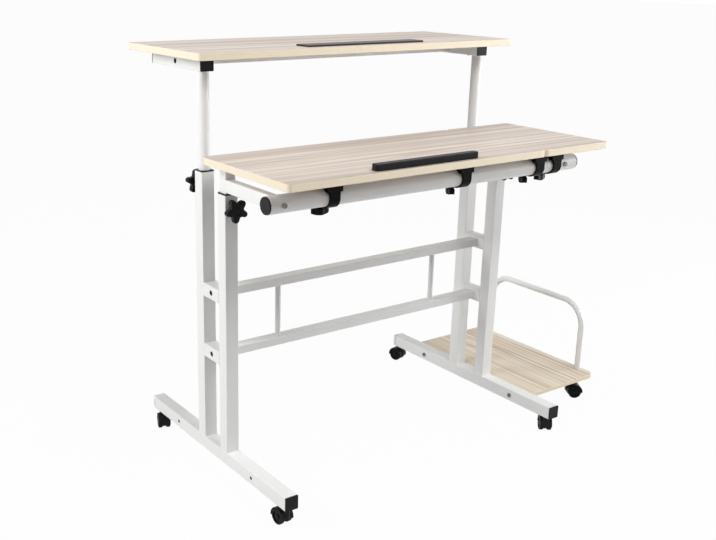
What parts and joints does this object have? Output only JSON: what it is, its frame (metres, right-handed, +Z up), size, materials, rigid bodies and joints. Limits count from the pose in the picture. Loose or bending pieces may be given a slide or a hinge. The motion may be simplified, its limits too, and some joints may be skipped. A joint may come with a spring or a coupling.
{
  "type": "mobile standing desk",
  "caption": "Rolling standing desk on square-tube legs: height-adjustable tilting desk panels on a front pipe, a raised rear shelf, star-knob locks, swivel casters and a side computer stand.",
  "frame": {"origin": "middle of the bounding box on the floor, under the casters", "axes": "+X to the user's right, along the desk and towards the computer stand; +Y away from the user, from the desk's front edge to the shelf; +Z up"},
  "size_m": [1.126, 0.6758, 0.982],
  "materials": {
    "white_steel": "white powder coat",
    "black_plastic": "moulded black plastic, fine grain",
    "caster_tread": "hard black nylon wheels",
    "white_plastic": "moulded white plastic",
    "zinc_steel": "bright zinc plate",
    "pale_board": "pale whitewashed wood-grain board with cream edge band",
    "stand_board": "pale wood-grain board, grain from front to back",
    "brown_strip": "dark brown plastic"
  },
  "bodies": {
    "base": {"left_foot": "white_steel", "right_foot": "white_steel", "front_foot_caps": "black_plastic", "rear_foot_caps": "white_plastic", "front_posts": "white_steel", "rear_posts": "white_steel", "post_bushings": "black_plastic", "cross_pieces": "white_steel", "rails": "white_steel", "ladder_bars": "white_steel", "frame_fasteners": "zinc_steel", "stand_board": "stand_board", "stand_rails": "white_steel", "stand_screws": "zinc_steel", "stand_guard": "white_steel", "caster_stems": "zinc_steel"},
    "desk_carriage": {"desk_inner_tubes": "white_steel", "desk_tube_glides": "black_plastic", "desk_rest_pads": "black_plastic", "desk_arms": "white_steel", "front_pipe": "white_steel", "front_pipe_caps": "black_plastic", "front_pipe_screws": "zinc_steel"},
    "shelf_carriage": {"shelf_inner_tubes": "white_steel", "shelf_tube_glides": "black_plastic", "shelf_brackets": "white_steel", "bracket_caps": "black_plastic", "shelf_rail": "white_steel", "shelf_fasteners": "zinc_steel", "shelf_board": "pale_board", "shelf_ledge": "brown_strip"},
    "main_top": {"main_panel": "pale_board", "stop_bar": "black_plastic", "main_clamp_saddles": "black_plastic", "main_clamp_straps": "black_plastic", "main_clamp_hardware": "zinc_steel"},
    "side_top": {"side_panel": "pale_board", "side_clamp_saddles": "black_plastic", "side_clamp_straps": "black_plastic", "side_clamp_hardware": "zinc_steel"},
    "star_front_left": {"star_knob_front_left": "black_plastic"},
    "star_front_right": {"star_knob_front_right": "black_plastic"},
    "star_rear_left": {"star_knob_rear_left": "black_plastic"},
    "star_rear_right": {"star_knob_rear_right": "black_plastic"},
    "wing_main_left": {"wing_knob_main_left": "black_plastic"},
    "wing_main_right": {"wing_knob_main_right": "black_plastic"},
    "wing_side_left": {"wing_knob_side_left": "black_plastic"},
    "wing_side_right": {"wing_knob_side_right": "black_plastic"},
    "caster_front_left": {"caster_housing_front_left": "black_plastic"},
    "wheels_front_left": {"caster_wheels_front_left": "caster_tread"},
    "caster_rear_left": {"caster_housing_rear_left": "black_plastic"},
    "wheels_rear_left": {"caster_wheels_rear_left": "caster_tread"},
    "caster_front_right": {"caster_housing_front_right": "black_plastic"},
    "wheels_front_right": {"caster_wheels_front_right": "caster_tread"},
    "caster_rear_right": {"caster_housing_rear_right": "black_plastic"},
    "wheels_rear_right": {"caster_wheels_rear_right": "caster_tread"},
    "caster_stand_front": {"caster_housing_stand_front": "black_plastic"},
    "wheels_stand_front": {"caster_wheels_stand_front": "caster_tread"},
    "caster_stand_rear": {"caster_housing_stand_rear": "black_plastic"},
    "wheels_stand_rear": {"caster_wheels_stand_rear": "caster_tread"}
  },
  "joints": [
    {"name": "desk_lift", "type": "slide", "parent": "base", "child": "desk_carriage", "axis": [0, 0, 1], "range_m": [0, 0.4]},
    {"name": "shelf_lift", "type": "slide", "parent": "base", "child": "shelf_carriage", "axis": [0, 0, 1], "range_m": [-0.214, 0.29]},
    {"name": "main_tilt", "type": "hinge", "parent": "desk_carriage", "child": "main_top", "pos_m": [-0.107, -0.2369, 0.7015], "axis": [1, 0, 0], "range_deg": [0, 70]},
    {"name": "side_tilt", "type": "hinge", "parent": "desk_carriage", "child": "side_top", "pos_m": [-0.107, -0.2369, 0.7015], "axis": [1, 0, 0], "range_deg": [0, 70]},
    {"name": "star_front_left_turn", "type": "hinge", "parent": "base", "child": "star_front_left", "pos_m": [-0.513, -0.0599, 0.653], "axis": [0, -1, 0], "range_deg": [0, 540]},
    {"name": "star_front_right_turn", "type": "hinge", "parent": "base", "child": "star_front_right", "pos_m": [0.299, -0.0599, 0.653], "axis": [0, -1, 0], "range_deg": [0, 540]},
    {"name": "star_rear_left_turn", "type": "hinge", "parent": "base", "child": "star_rear_left", "pos_m": [-0.513, 0.0841, 0.686], "axis": [0, 1, 0], "range_deg": [0, 540]},
    {"name": "star_rear_right_turn", "type": "hinge", "parent": "base", "child": "star_rear_right", "pos_m": [0.299, 0.0841, 0.686], "axis": [0, 1, 0], "range_deg": [0, 540]},
    {"name": "wing_main_left_turn", "type": "hinge", "parent": "main_top", "child": "wing_main_left", "pos_m": [-0.3915, -0.2069, 0.6715], "axis": [0, 0, -1], "range_deg": [0, 540]},
    {"name": "wing_main_right_turn", "type": "hinge", "parent": "main_top", "child": "wing_main_right", "pos_m": [-0.026, -0.2069, 0.6715], "axis": [0, 0, -1], "range_deg": [0, 540]},
    {"name": "wing_side_left_turn", "type": "hinge", "parent": "side_top", "child": "wing_side_left", "pos_m": [0.2105, -0.2069, 0.6715], "axis": [0, 0, -1], "range_deg": [0, 540]},
    {"name": "wing_side_right_turn", "type": "hinge", "parent": "side_top", "child": "wing_side_right", "pos_m": [0.269, -0.2069, 0.6715], "axis": [0, 0, -1], "range_deg": [0, 540]},
    {"name": "caster_front_left_swivel", "type": "hinge", "parent": "base", "child": "caster_front_left", "pos_m": [-0.513, -0.2729, 0.03], "axis": [0, 0, 1], "continuous": true},
    {"name": "wheels_front_left_roll", "type": "hinge", "parent": "caster_front_left", "child": "wheels_front_left", "pos_m": [-0.51398, -0.25893, 0.018], "axis": [0.9976, 0.0698, 0], "continuous": true},
    {"name": "caster_rear_left_swivel", "type": "hinge", "parent": "base", "child": "caster_rear_left", "pos_m": [-0.513, 0.3001, 0.03], "axis": [0, 0, 1], "continuous": true},
    {"name": "wheels_rear_left_roll", "type": "hinge", "parent": "caster_rear_left", "child": "wheels_rear_left", "pos_m": [-0.51779, 0.28694, 0.018], "axis": [-0.9397, 0.342, 0], "continuous": true},
    {"name": "caster_front_right_swivel", "type": "hinge", "parent": "base", "child": "caster_front_right", "pos_m": [0.299, -0.2729, 0.03], "axis": [0, 0, 1], "continuous": true},
    {"name": "wheels_front_right_roll", "type": "hinge", "parent": "caster_front_right", "child": "wheels_front_right", "pos_m": [0.30762, -0.26187, 0.018], "axis": [0.788, -0.6157, 0], "continuous": true},
    {"name": "caster_rear_right_swivel", "type": "hinge", "parent": "base", "child": "caster_rear_right", "pos_m": [0.299, 0.3001, 0.03], "axis": [0, 0, 1], "continuous": true},
    {"name": "wheels_rear_right_roll", "type": "hinge", "parent": "caster_rear_right", "child": "wheels_rear_right", "pos_m": [0.29514, 0.31356, 0.018], "axis": [0.9613, 0.2756, 0], "continuous": true},
    {"name": "caster_stand_front_swivel", "type": "hinge", "parent": "base", "child": "caster_stand_front", "pos_m": [0.523, -0.1564, 0.03], "axis": [0, 0, 1], "continuous": true},
    {"name": "wheels_stand_front_roll", "type": "hinge", "parent": "caster_stand_front", "child": "wheels_stand_front", "pos_m": [0.53461, -0.16423, 0.018], "axis": [-0.5592, -0.829, 0], "continuous": true},
    {"name": "caster_stand_rear_swivel", "type": "hinge", "parent": "base", "child": "caster_stand_rear", "pos_m": [0.523, 0.1806, 0.03], "axis": [0, 0, 1], "continuous": true},
    {"name": "wheels_stand_rear_roll", "type": "hinge", "parent": "caster_stand_rear", "child": "wheels_stand_rear", "pos_m": [0.51821, 0.19376, 0.018], "axis": [0.9397, 0.342, 0], "continuous": true}
  ]
}
